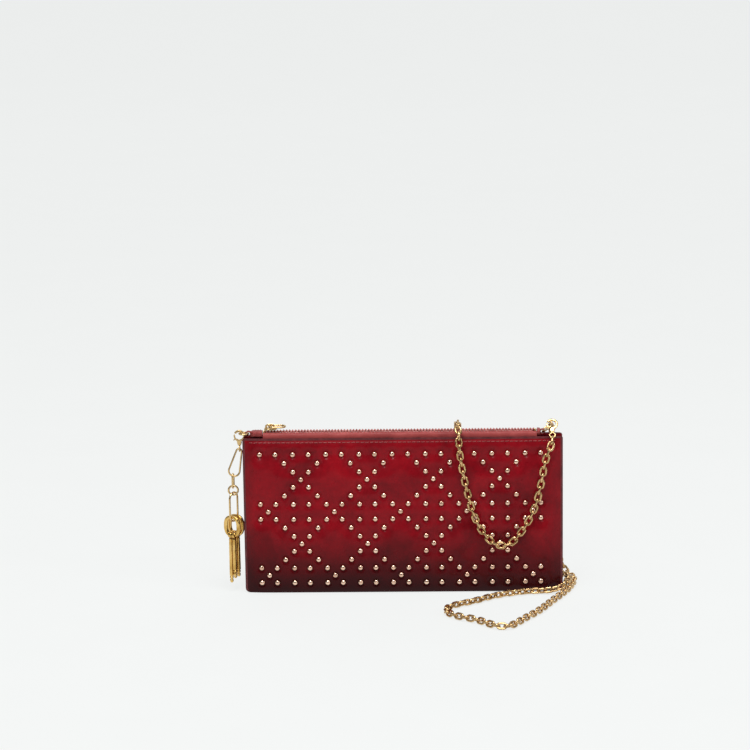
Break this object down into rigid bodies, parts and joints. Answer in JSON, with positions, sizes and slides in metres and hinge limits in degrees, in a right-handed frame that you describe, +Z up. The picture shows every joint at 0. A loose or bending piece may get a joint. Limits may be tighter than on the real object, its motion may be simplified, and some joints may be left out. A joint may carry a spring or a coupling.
{
  "type": "clutch purse",
  "caption": "Red quilted leather clutch purse with a studded front, top zip, chain strap and hanging gold charms.",
  "frame": {"origin": "centre of the underside of the bottom panel, where the purse stands", "axes": "+X to the wearer's right along the zip, seen from the front; the studded front faces -Y; +Z up"},
  "size_m": [0.2331, 0.1215, 0.115],
  "materials": {
    "leather": "glossy crimson",
    "edge": "dark painted edge",
    "zip_leather": "satin coral red",
    "zip_teeth": "satin coral red",
    "lining": "woven",
    "padding": "soft felt",
    "brass": "polished pale gold",
    "chain_metal": "antiqued gold",
    "stud_metal": "polished rose gold"
  },
  "bodies": {
    "purse_back": {"bottom_panel": "leather", "back_panel": "leather", "back_lining": "lining", "card_pocket": "lining", "gusset_left": "edge", "gusset_right": "edge", "back_tape": "zip_leather", "back_teeth": "zip_teeth", "zip_stop_back": "brass", "chain_over": "chain_metal", "chain_back": "chain_metal", "chain_floor": "chain_metal", "chain_rise": "chain_metal", "chain_end": "chain_metal"},
    "purse_front": {"front_panel": "leather", "studs": "stud_metal", "front_padding": "padding", "front_lining": "lining", "front_tape": "zip_leather", "front_teeth": "zip_teeth", "zip_stop_front": "brass", "zip_stop_end": "brass", "tab_left": "zip_leather", "tab_right": "zip_leather", "chain_front": "chain_metal"},
    "slider": {"zip_slider": "brass"},
    "puller": {"zip_pull": "brass"},
    "left_ring": {"ring_left": "brass"},
    "charm_hook": {"charm_clasp": "brass"},
    "charm_hook_gate": {"charm_clasp_gate": "brass"},
    "pear_link": {"charm_loop": "brass"},
    "small_link": {"charm_link_small": "brass"},
    "round_link": {"charm_link_round": "brass"},
    "long_link": {"charm_link_long": "brass"},
    "front_ring_charm": {"charm_ring_front": "brass"},
    "back_ring_charm": {"charm_ring_back": "brass"},
    "bar_front_left": {"charm_bar_front_left": "brass"},
    "bar_front_right": {"charm_bar_front_right": "brass"},
    "bar_back_left": {"charm_bar_back_left": "brass"},
    "bar_back_right": {"charm_bar_back_right": "brass"},
    "right_ring": {"ring_right": "brass"},
    "strap_hook": {"strap_clasp": "brass"},
    "strap_hook_gate": {"strap_clasp_gate": "brass"}
  },
  "joints": [
    {"name": "mouth_open", "type": "hinge", "parent": "purse_back", "child": "purse_front", "pos_m": [0, -0.0082, 0.001], "axis": [1, 0, 0], "range_deg": [0, 6]},
    {"name": "zip_slide", "type": "slide", "parent": "purse_front", "child": "slider", "axis": [1, 0, 0], "range_m": [0, 0.165]},
    {"name": "zip_pull_lift", "type": "hinge", "parent": "slider", "child": "puller", "pos_m": [-0.0875, 0, 0.11165], "axis": [0, -1, 0], "range_deg": [0, 165]},
    {"name": "left_ring_lift", "type": "hinge", "parent": "purse_front", "child": "left_ring", "pos_m": [-0.1012, 0, 0.107], "axis": [0, 1, 0], "range_deg": [0, 40]},
    {"name": "charm_hook_swing", "type": "hinge", "parent": "left_ring", "child": "charm_hook", "pos_m": [-0.1072, 0, 0.107], "axis": [0, 1, 0], "range_deg": [0, 35]},
    {"name": "charm_hook_gate_open", "type": "hinge", "parent": "charm_hook", "child": "charm_hook_gate", "pos_m": [-0.1095, 0, 0.10333], "axis": [0, 1, 0], "range_deg": [0, 22], "stiffness_Nm_per_rad": 0.0005},
    {"name": "pear_link_swing", "type": "hinge", "parent": "charm_hook", "child": "pear_link", "pos_m": [-0.1072, 0, 0.09515], "axis": [1, 0, 0], "range_deg": [-20, 20]},
    {"name": "small_link_swing", "type": "hinge", "parent": "pear_link", "child": "small_link", "pos_m": [-0.112, 0, 0.07827], "axis": [1, 0, 0], "range_deg": [-25, 25]},
    {"name": "round_link_swing", "type": "hinge", "parent": "small_link", "child": "round_link", "pos_m": [-0.112, 0, 0.07027], "axis": [0.1736, 0.9848, 0], "range_deg": [0, 20]},
    {"name": "long_link_swing", "type": "hinge", "parent": "round_link", "child": "long_link", "pos_m": [-0.112, 0, 0.06557], "axis": [0.9962, 0.0872, 0], "range_deg": [-25, 25]},
    {"name": "front_ring_swing", "type": "hinge", "parent": "long_link", "child": "front_ring_charm", "pos_m": [-0.11314, -0.00182, 0.04834], "axis": [0.5299, 0.848, 0], "range_deg": [-2, 14]},
    {"name": "back_ring_swing", "type": "hinge", "parent": "long_link", "child": "back_ring_charm", "pos_m": [-0.11086, 0.00182, 0.04834], "axis": [0.5299, 0.848, 0], "range_deg": [-2, 18]},
    {"name": "bar_front_left_swing", "type": "hinge", "parent": "front_ring_charm", "child": "bar_front_left", "pos_m": [-0.11431, -0.00115, 0.03854], "axis": [0.866, -0.5, 0], "range_deg": [-20, 1.5]},
    {"name": "bar_front_right_swing", "type": "hinge", "parent": "front_ring_charm", "child": "bar_front_right", "pos_m": [-0.11197, -0.0025, 0.03854], "axis": [0.866, -0.5, 0], "range_deg": [-20, 1.5]},
    {"name": "bar_back_left_swing", "type": "hinge", "parent": "back_ring_charm", "child": "bar_back_left", "pos_m": [-0.11203, 0.0025, 0.03854], "axis": [0.866, -0.5, 0], "range_deg": [-1.5, 10]},
    {"name": "bar_back_right_swing", "type": "hinge", "parent": "back_ring_charm", "child": "bar_back_right", "pos_m": [-0.10969, 0.00115, 0.03854], "axis": [0.866, -0.5, 0], "range_deg": [-1.5, 10]},
    {"name": "right_ring_lift", "type": "hinge", "parent": "purse_front", "child": "right_ring", "pos_m": [0.0918, 0, 0.107], "axis": [0, -1, 0], "range_deg": [0, 25]},
    {"name": "strap_hook_swing", "type": "hinge", "parent": "right_ring", "child": "strap_hook", "pos_m": [0.0981, 0, 0.11192], "axis": [0, 1, 0], "range_deg": [-12, 10]},
    {"name": "strap_hook_gate_open", "type": "hinge", "parent": "strap_hook", "child": "strap_hook_gate", "pos_m": [0.0958, -0.00174, 0.11024], "axis": [0, 0.6947, -0.7193], "range_deg": [0, 22], "stiffness_Nm_per_rad": 0.0005}
  ],
  "couplings": [
    {"joint": "zip_slide", "follows": "mouth_open", "m_per_rad": 1.5751}
  ]
}
